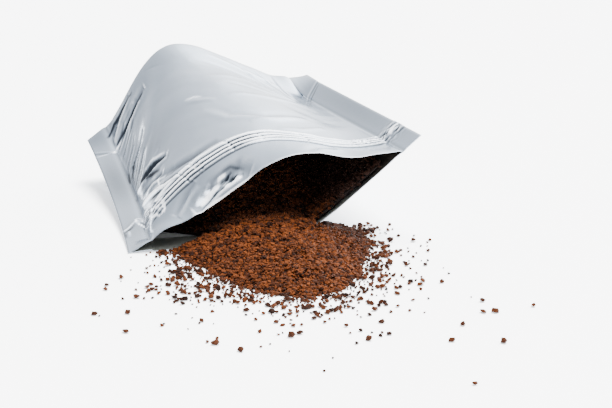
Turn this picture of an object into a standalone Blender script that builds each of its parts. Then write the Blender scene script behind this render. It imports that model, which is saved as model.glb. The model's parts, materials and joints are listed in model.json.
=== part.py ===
"""A foil stand-up pouch that lies on its back panel with its zip mouth open, and the coffee granules
that have run out of it. The mouth faces -Y, the width runs along X, and the part lies on Z = 0."""

import math
import random

import bmesh
import bpy
from mathutils import Vector, noise

MM = 0.001

# The pouch, flat: two panels welded down both sides, and a gusset folded in at the bottom.
SEAL_WIDTH = 12 * MM
FILM = 0.5 * MM
PANEL_LENGTH = 154 * MM

# The outer edge of each side seal as the pouch lies: at the mouth, half way, and at the bottom corner.
LEFT_EDGE = [Vector((-86.7, 10, 0.5)) * MM, Vector((-78.6, 82, 7)) * MM, Vector((-76, 155, 20.5)) * MM]
RIGHT_EDGE = [Vector((59.5, 0, 50)) * MM, Vector((55, 79, 49.5)) * MM, Vector((51.5, 156, 48.5)) * MM]
# Directions from the outer edge of a seal to its inner edge: at the mouth, before the bottom corner
# and at the corner itself, which the gusset twists.
LEFT_INWARD = [Vector((1, 0, 0.06)), Vector((0.97, 0, 0.24)), Vector((0.82, 0, 0.58))]
RIGHT_INWARD = [Vector((-0.78, 0, -0.63)), Vector((-0.67, 0, -0.74)), Vector((-0.96, 0, -0.28))]
CORNER_FROM = 0.85

# Cross sections of the upper panel: how far along it, the height of the crest above the line between
# the seals, where the crest stands across the width, and how hollow the left and right flanks are.
SECTIONS = [
    (0.00, 18.8 * MM, 0.51, 0.87, 2.70),
    (0.16, 26.7 * MM, 0.38, 0.85, 1.90),
    (0.60, 34.5 * MM, 0.37, 1.35, 1.35),
    (1.00, 37.4 * MM, 0.366, 2.30, 0.96),
]
LIP_RECESS = 3 * MM

# The lower panel lies on the floor between two ramps that rise to the seals.
LEFT_RAMP = [0.9, 1.25]
RIGHT_RAMP = [0.8, 1.6]
RAMP_BEND = 14 * MM
LEFT_BEND_SHARE = 0.9
LEAST_BEND = 0.1 * MM

# The bottom gusset closes the end between two flanges, with a crease across its middle.
FLANGE_WIDTH = 6 * MM
FLANGE_THICK = 0.8 * MM
GUSSET_RECESS = 9 * MM
GUSSET_FILM = 0.6 * MM
GUSSET_SHARES = (0.12, 0.3, 0.5, 0.7, 0.88)
GUSSET_BEND = 0.7
GUSSET_FULL_DEPTH = 30 * MM

# The press-to-close zip, measured from the mouth to its middle.
ZIP_AT = 25 * MM
ZIP_WIDTH = 11 * MM
ZIP_RAISE = 1.0 * MM
ZIP_EDGE = 1.5 * MM
ZIP_TAPE = 0.5 * MM
ZIP_RIB_TALL = 1.3 * MM
ZIP_RIB_WIDE = 1.1 * MM
ZIP_CLEAR = 0.35 * MM

ZIP_ENDS = (0.06, 0.95)
ZIP_FLANGE = 0.4 * MM
ZIP_PAIR = 1.3 * MM

# How finely the panels are divided, and how far the cutter of the inside reaches past the mouth.
COLUMNS = 26
COLUMNS_NEAR_SEALS = 0.5
ROW_STEP = 7.5 * MM
NORMAL_STEP = 0.004
CUT_PAST = 0.02
NO_AREA = 0.001 * MM

# The coffee in the pouch: a slope that starts behind the zip on the left, and nearer the lip, or
# past it, in the middle. On the right it is a layer on the rising panel.
COFFEE_GAP = 0.9 * MM
FRONT_EDGE = [
    (0.02, 31 * MM),
    (0.22, 14 * MM),
    (0.29, -4.6 * MM),
    (0.60, -4.6 * MM),
    (0.66, 1.5 * MM),
    (0.90, 2 * MM),
]
COFFEE_SIDES = (0.03, 0.88)
COFFEE_COLUMNS = 30
COFFEE_ROWS = 30
ROWS_NEAR_FRONT = 1.4
BEHIND_COFFEE = 3 * MM
SLOPE = 0.50
FILL_LEVEL = 50 * MM
FILL_BEND = 12 * MM
SLOPE_BEND = 4 * MM
BANK_LAYER = 2.2 * MM
LEAST_LAYER = 0.6 * MM

# Lumps over all the coffee: half their height, and how many there are to a metre.
RELIEF = 0.8 * MM
LUMPS_PER_METRE = 400

# The fan that has run out on to the floor: its middle, its reach to the sides and to the front.
FAN_MIDDLE = Vector((-17, 4, 0)) * MM
FAN_SIDE = 48 * MM
FAN_FRONT = 82 * MM
FAN_POINTS_TO = math.radians(265)
FAN_POINT_WIDTH = math.radians(30)
FAN_RAGGED = 2.2 * MM
FAN_LOBES = 6
FAN_TALL = 13 * MM
FAN_PROFILE = 1.6
FAN_EDGE = 0.6 * MM
# The fan in front of the lip, and the wedge of it that reaches in under the raised right of the lip:
# first and last direction, the distance from the middle at which each starts, steps and rings.
FAN_PATCHES = [
    (math.radians(176), math.radians(356), 0.0, 34, 13),
    (math.radians(350), math.radians(372), 29 * MM, 5, 5),
]
PATCH_MIDDLE = 0.5 * MM

# Granules: those that stand out of the heap, and the largest of those that lie alone on the floor.
GRAIN_RADIUS = (1.2 * MM, 1.9 * MM)
GRAIN_STRETCH = [(0.85, 1.35), (0.7, 1.05), (0.6, 0.85)]
GRAIN_UNEVEN = (0.85, 1.15)
HEAP_GRAINS = 60
GRAINS_FROM_SIDE = 0.1
GRAINS_SPREAD = (0.02, 0.85)
STRAY_RADIUS = (1.3 * MM, 2.0 * MM)
FLAT_SIDE = 0.6
STRAYS = [
    (-120, -72), (-106, -75), (-112, -98), (-90, -43), (-78, -95), (-80, -124),
    (-73, -14), (-56, -88), (-47, -125), (-23, -102), (-21, -120), (9, -103),
    (15, -87), (31, -28), (51, -14), (27, -134), (35, -159), (15, -151),
    (5, -199), (66, -121), (47, -123), (-5, -120),
]
SEED = 11

# The frame's origin is the middle of the part's footprint.
ORIGIN = Vector((-27.4, -21.9, 0)) * MM

# Each material: its colour, its roughness and how metallic it is.
FOIL = ((0.72, 0.74, 0.77), 0.28, 1.0)
COFFEE = ((0.18, 0.065, 0.025), 0.75, 0.0)
ZIP_PLASTIC = ((0.75, 0.76, 0.76), 0.35, 0.0)


def mix(a, b, share):
    return a + (b - a) * share


def smooth(value):
    value = min(max(value, 0.0), 1.0)
    return value * value * (3 - 2 * value)


def soft_max(a, b, width):
    """The larger of two heights, with the corner between them rounded over a width."""
    overlap = max(width - abs(a - b), 0.0) / width
    return max(a, b) + overlap * overlap * width / 4


def bowed(points, t):
    """A curve through three points, at t = 0, 0.5 and 1."""
    start, middle, end = points
    pull = 2 * middle - (start + end) / 2
    return (1 - t) * (1 - t) * start + 2 * t * (1 - t) * pull + t * t * end


def inward(directions, t):
    """The direction across a seal at t."""
    first, last, corner = directions
    turned = smooth((t - CORNER_FROM) / (1 - CORNER_FROM))
    return mix(mix(first, last, t), corner, turned).normalized()


def seal_edges(t):
    """Outer and inner edges of the left and right seals at t, from the mouth (0) to the bottom (1)."""
    left, right = bowed(LEFT_EDGE, t), bowed(RIGHT_EDGE, t)
    left_in = left + SEAL_WIDTH * inward(LEFT_INWARD, t)
    right_in = right + SEAL_WIDTH * inward(RIGHT_INWARD, t)
    return left, left_in, right_in, right


def section(t):
    """The measures of the upper panel's cross section at t, on a smooth curve through SECTIONS."""
    t = min(max(t, 0.0), 1.0)
    after = next(k for k in range(1, len(SECTIONS)) if t <= SECTIONS[k][0])
    near = [SECTIONS[min(max(k, 0), len(SECTIONS) - 1)] for k in range(after - 2, after + 2)]
    span = near[2][0] - near[1][0]
    share = (t - near[1][0]) / span
    found = []
    for k in range(1, len(near[0])):
        start = (near[2][k] - near[0][k]) / (near[2][0] - near[0][0]) * span
        end = (near[3][k] - near[1][k]) / (near[3][0] - near[1][0]) * span
        step = near[2][k] - near[1][k]
        bend = (start + end - 2 * step) * share + 3 * step - 2 * start - end
        found.append(near[1][k] + share * (start + share * bend))
    return found


def zip_band(t):
    """1 over the zip, falling to 0 beside it."""
    away = abs(t * PANEL_LENGTH - ZIP_AT) - ZIP_WIDTH / 2
    return 1 - smooth(away / ZIP_EDGE)


def chord(s, t):
    _, left_in, right_in, _ = seal_edges(t)
    return left_in + (right_in - left_in) * s


def upper(s, t):
    """The inner face of the upper panel, s from the left seal (0) to the right one (1)."""
    rise, crest, left_flank, right_flank = section(t)
    wave = math.sin(math.pi * max(s, 0.0) ** (math.log(0.5) / math.log(crest)))
    shape = max(wave, 0.0) ** mix(left_flank, right_flank, s)
    over_zip = ZIP_RAISE * zip_band(t) * smooth(shape * 6)
    recess = LIP_RECESS * shape * (1 - min(max(t, 0.0), 1.0))
    return chord(s, t) + Vector((0, recess, rise * shape + over_zip))


def lower(s, t):
    """The inner face of the lower panel."""
    _, left_in, right_in, _ = seal_edges(t)
    point = chord(s, t)
    along = min(max(t, 0.0), 1.0)
    left_bend = max(LEFT_BEND_SHARE * (left_in.z - FILM), LEAST_BEND)
    from_left = left_in.z - (point.x - left_in.x) * mix(*LEFT_RAMP, along)
    from_right = right_in.z - (right_in.x - point.x) * mix(*RIGHT_RAMP, along)
    height = soft_max(FILM, from_left, min(left_bend, RAMP_BEND))
    point.z = soft_max(height, from_right, RAMP_BEND)
    return point


def outward(panel, s, t, sign):
    """The unit normal of a panel, pointing up (1) or down (-1)."""
    a, b = max(s - NORMAL_STEP, 0.0), min(s + NORMAL_STEP, 1.0)
    along = panel(s, t + NORMAL_STEP) - panel(s, t - NORMAL_STEP)
    normal = (panel(b, t) - panel(a, t)).cross(along).normalized()
    return normal * sign if normal.z >= 0 else -normal * sign


def mesh_object(name, vertices, faces, material=None):
    mesh = bpy.data.meshes.new(name)
    mesh.from_pydata([tuple(v - ORIGIN) for v in vertices], [], faces)
    made = bpy.data.objects.new(name, mesh)
    bpy.context.scene.collection.objects.link(made)
    if material:
        mesh.materials.append(material)
    work = bmesh.new()
    work.from_mesh(mesh)
    bmesh.ops.remove_doubles(work, verts=work.verts, dist=NO_AREA)
    bmesh.ops.recalc_face_normals(work, faces=work.faces)
    work.to_mesh(mesh)
    work.free()
    return made


def loft(name, tops, bottoms, front_cap=(), back_cap=(), material=None):
    """A closed solid between rows of top points and rows of bottom points, which share columns.
    Each cap holds the rows of points between the bottom row and the top row at that end."""
    vertices, faces = [], []

    def sheet(rows):
        first = len(vertices)
        width = len(rows[0])
        for row in rows:
            vertices.extend(row)
        for j in range(len(rows) - 1):
            for i in range(width - 1):
                corner = first + j * width + i
                faces.append((corner, corner + 1, corner + width + 1, corner + width))

    sheet(tops)
    sheet(bottoms)
    sheet([bottoms[0], *front_cap, tops[0]])
    sheet([bottoms[-1], *back_cap, tops[-1]])
    sheet([[row[0] for row in tops], [row[0] for row in bottoms]])
    sheet([[row[-1] for row in tops], [row[-1] for row in bottoms]])
    made = mesh_object(name, vertices, faces, material)
    bmesh_clean(made)
    return made


def bmesh_clean(made):
    """Drops the faces that a pinched edge has left with no area, and turns all faces outwards."""
    work = bmesh.new()
    work.from_mesh(made.data)
    bmesh.ops.dissolve_degenerate(work, dist=NO_AREA, edges=work.edges)
    bmesh.ops.triangulate(work, faces=work.faces)
    bmesh.ops.recalc_face_normals(work, faces=work.faces)
    if work.calc_volume(signed=True) < 0:
        bmesh.ops.reverse_faces(work, faces=work.faces)
    work.to_mesh(made.data)
    work.free()


def rows_of_pouch():
    """The rows of the panels from the mouth to the bottom, closer together beside the zip."""
    zip_rows = [ZIP_AT + side * (ZIP_WIDTH / 2 + edge) for side in (-1, 1) for edge in (0, ZIP_EDGE)]
    first = max(zip_rows)
    count = round((PANEL_LENGTH - FLANGE_WIDTH - first) / ROW_STEP)
    plain = [mix(first, PANEL_LENGTH - FLANGE_WIDTH, k / count) for k in range(1, count + 1)]
    lengths = [0, ZIP_AT / 3, *zip_rows, ZIP_AT, *plain, PANEL_LENGTH]
    return [length / PANEL_LENGTH for length in sorted(lengths)]


def columns():
    """Shares of the width, closer together near the seals, where the panels turn most."""
    even = [k / COLUMNS for k in range(COLUMNS + 1)]
    return [mix(s, 0.5 - 0.5 * math.cos(math.pi * s), COLUMNS_NEAR_SEALS) for s in even]


def gusset_rows(tops, bottoms, back_by):
    """Rows of points that carry the end wall from one panel to the other, creased in the middle."""
    rows = []
    for share in GUSSET_SHARES:
        fold = (1 - abs(2 * share - 1)) ** GUSSET_BEND
        row = []
        for top, bottom in zip(tops, bottoms):
            room = smooth((top.z - bottom.z) / GUSSET_FULL_DEPTH)
            row.append(mix(bottom, top, share) + Vector((0, back_by - GUSSET_RECESS * fold * room, 0)))
        rows.append(row)
    return rows


def pouch(foil):
    """The welded film: the outer form, less the inside, less the hollow behind the gusset."""
    shares, rows = columns(), rows_of_pouch()
    tops, bottoms = [], []
    for t in rows:
        left, left_in, right_in, right = seal_edges(t)
        left_up = Vector((-(left_in - left).z, 0, (left_in - left).x)).normalized()
        right_up = Vector(((right_in - right).z, 0, -(right_in - right).x)).normalized()
        top = [upper(s, t) + FILM * outward(upper, s, t, 1) for s in shares]
        bottom = [lower(s, t) + FILM * outward(lower, s, t, -1) for s in shares]
        top[0], bottom[0] = left_in + FILM * left_up, left_in - FILM * left_up
        top[-1], bottom[-1] = right_in + FILM * right_up, right_in - FILM * right_up
        for point in bottom:
            point.z = max(point.z, 0.0)
        tops.append([left + FILM * left_up, *top, right + FILM * right_up])
        bottoms.append([left - FILM * left_up, *bottom, right - FILM * right_up])
        bottoms[-1][0].z = max(bottoms[-1][0].z, 0.0)
    body = loft("pouch", tops, bottoms, material=foil)

    inside = [-CUT_PAST, *rows[:-1]]
    tops = [[upper(s, t) for s in shares] for t in inside]
    bottoms = [[lower(s, t) for s in shares] for t in inside]
    wall = gusset_rows(tops[-1], bottoms[-1], -GUSSET_FILM)
    for row in (tops[-1], bottoms[-1]):
        for point in row:
            point.y -= GUSSET_FILM
    cavity = loft("cavity", tops, bottoms, back_cap=wall)

    behind = [rows[-2], 1.0, 1 + CUT_PAST]
    inner = shares[1:-1]
    tops = [[upper(s, t) - Vector((0, 0, FLANGE_THICK - FILM)) for s in inner] for t in behind]
    bottoms = [[lower(s, t) + Vector((0, 0, FLANGE_THICK - FILM)) for s in inner] for t in behind]
    for top, bottom in zip(tops, bottoms):
        for end in (0, -1):
            top[end] = bottom[end] = (top[end] + bottom[end]) / 2
    hollow = loft("base_hollow", tops, bottoms, front_cap=gusset_rows(tops[0], bottoms[0], 0))

    for cutter in (cavity, hollow):
        cut = body.modifiers.new(cutter.name, "BOOLEAN")
        cut.operation, cut.solver, cut.object = "DIFFERENCE", "EXACT", cutter
        cutter.hide_render = True
        cutter.display_type = "WIRE"
    return body


def zip_strip(name, panel, sign, ribs, plastic):
    """A zip tape with its ribs, welded along the inner face of a panel. sign 1 stands up, -1 hangs."""
    half = ZIP_WIDTH / 2 - ZIP_FLANGE
    outline = [(-half, 0.0)]
    for middle in ribs:
        for side, tall in ((-1, ZIP_TAPE), (-1, ZIP_RIB_TALL), (1, ZIP_RIB_TALL), (1, ZIP_TAPE)):
            outline.append((middle + side * ZIP_RIB_WIDE / 2, tall))
    outline.append((half, 0.0))
    shares = [s for s in columns() if ZIP_ENDS[0] < s < ZIP_ENDS[1]]
    tall_rows, flat_rows = [], []
    for along, tall in outline:
        t = (ZIP_AT + along) / PANEL_LENGTH
        base = [panel(s, t) - ZIP_CLEAR * outward(panel, s, t, -sign) for s in shares]
        up = [-outward(panel, s, t, -sign) for s in shares]
        flat_rows.append(base)
        tall_rows.append([point + direction * max(tall, ZIP_TAPE) for point, direction in zip(base, up)])
    tops, bottoms = (tall_rows, flat_rows) if sign > 0 else (flat_rows, tall_rows)
    return loft(name, tops, bottoms, material=plastic)


def rough(x, y):
    return RELIEF * 2 * noise.noise(Vector((x, y, 0)) * LUMPS_PER_METRE)


def fan_reach(angle):
    """How far the fan reaches from its middle in a direction."""
    off = (angle - FAN_POINTS_TO) / FAN_POINT_WIDTH
    ragged = noise.noise(Vector((math.cos(angle), math.sin(angle), 0)) * FAN_LOBES)
    return FAN_SIDE + (FAN_FRONT - FAN_SIDE) * math.exp(-off * off) + FAN_RAGGED * ragged


def fan_height(x, y):
    """The height of the fan over the floor, below zero outside it."""
    x, y = x - FAN_MIDDLE.x, y - FAN_MIDDLE.y
    angle = math.atan2(y, x) % math.tau
    if angle < math.pi / 2:
        angle += math.tau
    return FAN_TALL * (1 - (math.hypot(x, y) / fan_reach(angle)) ** FAN_PROFILE)


def fan_patch(name, first, last, start, steps, rings):
    """A sector of the fan on the floor, with the heap's own height over it."""
    tops, bottoms = [], []
    for k in range(rings + 1):
        top, bottom = [], []
        for step in range(steps + 1):
            angle = mix(first, last, step / steps)
            radius = mix(start + PATCH_MIDDLE, fan_reach(angle), k / rings)
            at = FAN_MIDDLE + radius * Vector((math.cos(angle), math.sin(angle), 0))
            lump = rough(at.x, at.y) * (1 - k / rings)
            height = max(fan_height(at.x, at.y), 0) + FAN_EDGE + max(lump, -FAN_EDGE / 2)
            top.append(Vector((at.x, at.y, height)))
            bottom.append(Vector((at.x, at.y, 0)))
        tops.append(top)
        bottoms.append(bottom)
    return loft(name, tops, bottoms)


def front_edge(s):
    """How far behind the lip the coffee starts at s; below zero it runs out over the lip."""
    last = len(FRONT_EDGE) - 1
    after = next((k for k in range(1, last) if s <= FRONT_EDGE[k][0]), last)
    (s0, back0), (s1, back1) = FRONT_EDGE[after - 1], FRONT_EDGE[after]
    return mix(back0, back1, (s - s0) / (s1 - s0)) / PANEL_LENGTH


def inside_heap(brown):
    """The coffee in the pouch, clear of both panels and of the zip."""
    end = 1 - (FLANGE_WIDTH + GUSSET_RECESS + BEHIND_COFFEE) / PANEL_LENGTH
    tops, bottoms = [], []
    for k in range(COFFEE_ROWS + 1):
        top, bottom = [], []
        for step in range(COFFEE_COLUMNS + 1):
            s = mix(*COFFEE_SIDES, step / COFFEE_COLUMNS)
            first = front_edge(s)
            t = mix(first, end, (k / COFFEE_ROWS) ** ROWS_NEAR_FRONT)
            over_zip = (ZIP_CLEAR + ZIP_RIB_TALL) * zip_band(t)
            floor = lower(s, t) - outward(lower, s, max(t, 0.01), -1) * (COFFEE_GAP + over_zip)
            below = upper(s, t).z - 2 * COFFEE_GAP - over_zip
            slope = SLOPE * (t - max(first, 0.0)) * PANEL_LENGTH
            slope = FILL_LEVEL - soft_max(FILL_LEVEL - slope, 0, FILL_BEND)
            heap = soft_max(fan_height(floor.x, floor.y), slope, SLOPE_BEND)
            height = max(heap, floor.z + BANK_LAYER)
            height = min(height + rough(floor.x, floor.y), below)
            height = max(height, floor.z + LEAST_LAYER)
            bottom.append(floor)
            top.append(Vector((floor.x, floor.y, height)))
        tops.append(top)
        bottoms.append(bottom)
    return loft("coffee", tops, bottoms, material=brown)


def grain(radius, draw):
    """A granule: a small ball with 20 faces, pulled into a lump."""
    work = bmesh.new()
    bmesh.ops.create_icosphere(work, subdivisions=1, radius=radius)
    stretch = Vector([draw.uniform(*span) for span in GRAIN_STRETCH])
    points = [v.co * draw.uniform(*GRAIN_UNEVEN) for v in work.verts]
    faces = [tuple(v.index for v in face.verts) for face in work.faces]
    work.free()
    turn = draw.uniform(0, math.tau)
    cos, sin = math.cos(turn), math.sin(turn)
    shaped = [Vector((p.x * stretch.x, p.y * stretch.y, p.z * stretch.z)) for p in points]
    return [Vector((p.x * cos - p.y * sin, p.x * sin + p.y * cos, p.z)) for p in shaped], faces


def coffee(brown):
    """The contents as one heap: the coffee in the pouch, the fan on the floor and the grains on both."""
    heap = inside_heap(brown)
    draw = random.Random(SEED)
    loose = bpy.data.collections.new("loose_grains")
    bpy.context.scene.collection.children.link(loose)
    pieces = [fan_patch(f"fan_{k}", *patch) for k, patch in enumerate(FAN_PATCHES)]
    first, last = FAN_PATCHES[0][:2]
    for _ in range(HEAP_GRAINS):
        angle = draw.uniform(first + GRAINS_FROM_SIDE, last - GRAINS_FROM_SIDE)
        radius = fan_reach(angle) * math.sqrt(draw.uniform(*GRAINS_SPREAD))
        x = FAN_MIDDLE.x + radius * math.cos(angle)
        y = FAN_MIDDLE.y + radius * math.sin(angle)
        points, faces = grain(draw.uniform(*GRAIN_RADIUS), draw)
        at = Vector((x, y, fan_height(x, y) + FAN_EDGE))
        pieces.append(mesh_object("grain", [p + at for p in points], faces))
    for piece in pieces:
        bpy.context.scene.collection.objects.unlink(piece)
        loose.objects.link(piece)
    join = heap.modifiers.new("loose grains", "BOOLEAN")
    join.operation, join.solver, join.operand_type, join.collection = "UNION", "EXACT", "COLLECTION", loose
    bpy.context.view_layer.update()
    joined = bpy.data.meshes.new_from_object(heap.evaluated_get(bpy.context.evaluated_depsgraph_get()))
    heap.modifiers.clear()
    heap.data = joined
    for piece in list(loose.objects):
        bpy.data.objects.remove(piece)
    bpy.data.collections.remove(loose)
    return heap


def strays(brown):
    """The largest granules that lie alone on the floor, each its own piece with a flat side down."""
    draw = random.Random(SEED + 1)
    for number, (x, y) in enumerate(STRAYS, 1):
        points, faces = grain(draw.uniform(*STRAY_RADIUS), draw)
        low = min(p.z for p in points) * FLAT_SIDE
        at = Vector((x * MM, y * MM, -low))
        rested = [Vector((p.x, p.y, max(p.z, low))) + at for p in points]
        mesh_object(f"granule_{number:02d}", rested, faces, brown)


def material(name, colour, roughness, metallic):
    made = bpy.data.materials.new(name)
    made.use_nodes = True
    shader = made.node_tree.nodes["Principled BSDF"]
    shader.inputs["Base Color"].default_value = (*colour, 1)
    shader.inputs["Roughness"].default_value = roughness
    shader.inputs["Metallic"].default_value = metallic
    return made


def main():
    for thing in list(bpy.data.objects):
        bpy.data.objects.remove(thing)
    foil = material("foil", *FOIL)
    brown = material("coffee", *COFFEE)
    plastic = material("zip_plastic", *ZIP_PLASTIC)
    pouch(foil)
    zip_strip("zip_rib", upper, -1, [0.0], plastic)
    zip_strip("zip_channel", lower, 1, [-ZIP_PAIR, ZIP_PAIR], plastic)
    coffee(brown)
    strays(brown)


main()
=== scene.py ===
# %% [markdown]
# An open foil pouch of coffee granules.
# The real object is a stand-up pouch of metallised film. Its two panels are welded down both sides, a
# gusset is folded into the bottom, and a press-to-close zip crosses it behind the mouth. It lies on its
# lower panel, rolled a little to one side, and its granules have run out over the lip. Every piece below is
# laid out by two numbers: the share of the way across the pouch, and the share of the way along it.

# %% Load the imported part
import json
import math
import random

import bmesh
import bpy
import numpy as np
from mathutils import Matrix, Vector, noise

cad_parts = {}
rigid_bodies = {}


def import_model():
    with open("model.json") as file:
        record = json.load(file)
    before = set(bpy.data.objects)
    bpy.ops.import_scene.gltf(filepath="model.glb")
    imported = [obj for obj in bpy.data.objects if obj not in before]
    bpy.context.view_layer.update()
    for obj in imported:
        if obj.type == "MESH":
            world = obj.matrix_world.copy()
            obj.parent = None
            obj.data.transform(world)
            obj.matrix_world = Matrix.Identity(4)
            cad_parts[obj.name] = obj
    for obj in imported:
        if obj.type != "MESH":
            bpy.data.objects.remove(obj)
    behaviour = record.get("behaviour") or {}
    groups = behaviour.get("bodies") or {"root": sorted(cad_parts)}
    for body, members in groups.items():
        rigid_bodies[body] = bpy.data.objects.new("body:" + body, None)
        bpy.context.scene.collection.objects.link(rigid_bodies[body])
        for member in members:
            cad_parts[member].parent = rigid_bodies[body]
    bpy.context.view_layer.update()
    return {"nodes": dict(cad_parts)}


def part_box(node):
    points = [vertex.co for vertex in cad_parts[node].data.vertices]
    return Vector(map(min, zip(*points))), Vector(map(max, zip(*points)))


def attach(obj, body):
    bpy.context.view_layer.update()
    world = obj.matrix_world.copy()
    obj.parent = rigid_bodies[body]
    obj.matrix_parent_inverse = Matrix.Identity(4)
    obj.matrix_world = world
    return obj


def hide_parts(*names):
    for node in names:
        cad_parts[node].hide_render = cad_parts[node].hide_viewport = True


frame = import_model()

# %% Sizes of the real pouch, in metres
MM = 0.001
ORIGIN = np.array([-27.4, -21.9, 0.0]) * MM
SEAL_WIDTH = 12 * MM
PANEL_LENGTH = 154 * MM
PANEL_ARC = 150 * MM
FILM = 0.3 * MM
FLANGE = 6 * MM
ZIP_AT = 25 * MM
ZIP_WIDTH = 11 * MM

# %% [markdown]
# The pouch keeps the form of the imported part. The outer edge of each side seal is a curve through three
# points, and the seals turn towards the panels in a direction that twists at the bottom corners. Between
# the seals the upper panel stands up like a ridge whose cross section changes along the pouch. Arrays of
# shares go in, and arrays of points come out, so that a panel of forty thousand points takes one call.

# %% The lines of the two side seals
# The outer edge of each seal at the mouth, half way and at the bottom corner, and the directions from
# there to its inner edge: at the mouth, before the corner and at the corner.
LEFT_EDGE = np.array([(-86.7, 10, 0.5), (-78.6, 82, 7), (-76, 155, 20.5)]) * MM
RIGHT_EDGE = np.array([(59.5, 0, 50), (55, 79, 49.5), (51.5, 156, 48.5)]) * MM
LEFT_INWARD = np.array([(1, 0, 0.06), (0.97, 0, 0.24), (0.82, 0, 0.58)])
RIGHT_INWARD = np.array([(-0.78, 0, -0.63), (-0.67, 0, -0.74), (-0.96, 0, -0.28)])
CORNER_FROM = 0.85


def smooth(value):
    value = np.clip(value, 0, 1)
    return value * value * (3 - 2 * value)


def mix(a, b, share):
    return a + (b - a) * share


def unit(vectors):
    return vectors / np.linalg.norm(vectors, axis=-1, keepdims=True)


def rise(value, start, length):
    """0 before a start and 1 a length beyond it. A negative length looks the other way."""
    return smooth((value - start) / length)


def bell(value, middle, half):
    """1 at a middle value, and less away from it."""
    return np.exp(-((value - middle) / half) ** 2)


def through(points, t):
    """A curve through three points, at t = 0, 0.5 and 1."""
    start, middle, end = points
    pull = 2 * middle - (start + end) / 2
    return (1 - t) ** 2 * start + 2 * t * (1 - t) * pull + t * t * end


def across_seal(directions, t):
    first, last, corner = directions
    return unit(mix(mix(first, last, t), corner, smooth((t - CORNER_FROM) / (1 - CORNER_FROM))))


def seal_lines(t):
    """Outer left, inner left, inner right and outer right edges of the seals, at shares t."""
    t = np.asarray(t, float)[..., None]
    left = through(LEFT_EDGE, t)
    right = through(RIGHT_EDGE, t)
    left_in = left + SEAL_WIDTH * across_seal(LEFT_INWARD, t)
    right_in = right + SEAL_WIDTH * across_seal(RIGHT_INWARD, t)
    return left, left_in, right_in, right


print("mouth corners", seal_lines(0)[0] / MM, "and", seal_lines(0)[3] / MM, "mm")

# %% The cross sections of the upper panel
# Each row: how far along, the crest's height over the chord, its share of the way across, and how hollow
# the left and right flanks are.
SECTIONS = np.array([
    (0.00, 18.8 * MM, 0.51, 0.87, 2.70),
    (0.16, 26.7 * MM, 0.38, 0.85, 1.90),
    (0.60, 34.5 * MM, 0.37, 1.35, 1.35),
    (1.00, 37.4 * MM, 0.366, 2.30, 0.96),
])
# How far the top of the lip stands back from the mouth corners.
LIP_RECESS = 3 * MM


def section_at(t):
    """The measures of the cross section at share t, on a smooth curve through the sections above."""
    after = max(int(np.searchsorted(SECTIONS[:, 0], t)), 1)
    near = SECTIONS[np.clip(np.arange(after - 2, after + 2), 0, len(SECTIONS) - 1)]
    span = near[2, 0] - near[1, 0]
    share = (t - near[1, 0]) / span
    start = (near[2] - near[0]) / (near[2, 0] - near[0, 0]) * span
    end = (near[3] - near[1]) / (near[3, 0] - near[1, 0]) * span
    step = near[2] - near[1]
    bend = (start + end - 2 * step) * share + 3 * step - 2 * start - end
    return near[1] + share * (start + share * bend)


SECTION_STEPS = 400
SECTION_TABLE = np.array([section_at(t) for t in np.linspace(0, 1, SECTION_STEPS + 1)])


def section(t):
    places = np.linspace(0, 1, len(SECTION_TABLE))
    return [np.interp(t, places, measure) for measure in SECTION_TABLE.T[1:]]


def chord(s, t):
    """Points on the straight lines between the inner edges of the seals."""
    _, left_in, right_in, _ = seal_lines(t)
    return mix(left_in, right_in, np.asarray(s, float)[..., None])


def upper(s, t):
    """The inner face of the upper panel at shares s across and t along."""
    along = np.clip(t, 0, 1)
    tall, crest, left_flank, right_flank = section(along)
    wave = np.sin(np.pi * np.clip(s, 0, 1) ** (np.log(0.5) / np.log(crest)))
    shape = np.clip(wave, 0, None) ** mix(left_flank, right_flank, s)
    point = chord(s, t)
    point[..., 1] += LIP_RECESS * shape * (1 - along)
    point[..., 2] += tall * shape
    return point


print("crest at the mouth", upper(np.array(0.5), np.array(0.0)) / MM, "mm")

# %% The lower panel, between the floor and two ramps
# How steep each ramp is at the mouth and at the bottom.
LEFT_RAMP, RIGHT_RAMP = (0.9, 1.25), (0.8, 1.6)
RAMP_BEND = 14 * MM
LEFT_BEND_SHARE = 0.9
LEAST_BEND = 0.1 * MM
FLOOR_GAP = 0.5 * MM


def soft_max(a, b, width):
    overlap = np.clip(width - np.abs(a - b), 0, None) / width
    return np.maximum(a, b) + overlap * overlap * width / 4


def lower(s, t):
    """The inner face of the lower panel."""
    _, left_in, right_in, _ = seal_lines(t)
    point = chord(s, t)
    along = np.clip(t, 0, 1)
    bend = np.clip(LEFT_BEND_SHARE * (left_in[..., 2] - FLOOR_GAP), LEAST_BEND, RAMP_BEND)
    from_left = left_in[..., 2] - (point[..., 0] - left_in[..., 0]) * mix(*LEFT_RAMP, along)
    from_right = right_in[..., 2] - (right_in[..., 0] - point[..., 0]) * mix(*RIGHT_RAMP, along)
    point[..., 2] = soft_max(soft_max(FLOOR_GAP, from_left, bend), from_right, RAMP_BEND)
    return point


print("lower panel half way across the mouth", lower(np.array(0.5), np.array(0.0)) / MM, "mm")

# %% [markdown]
# Thin film folds far more easily than it stretches, so its wrinkles are straight ridges and grooves that
# run between the places that hold it: from the welded seals up to the belly, and from the stiff zip. Each
# is drawn here as a line on the flat panel. A point of the panel is moved by its distance from the line,
# and the line fades out at its ends. Distances are measured on the flat film, in millimetres.

# %% A crease on the flat film
FADE_POWER = 0.6
NOISE_CELLS = 256


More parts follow.
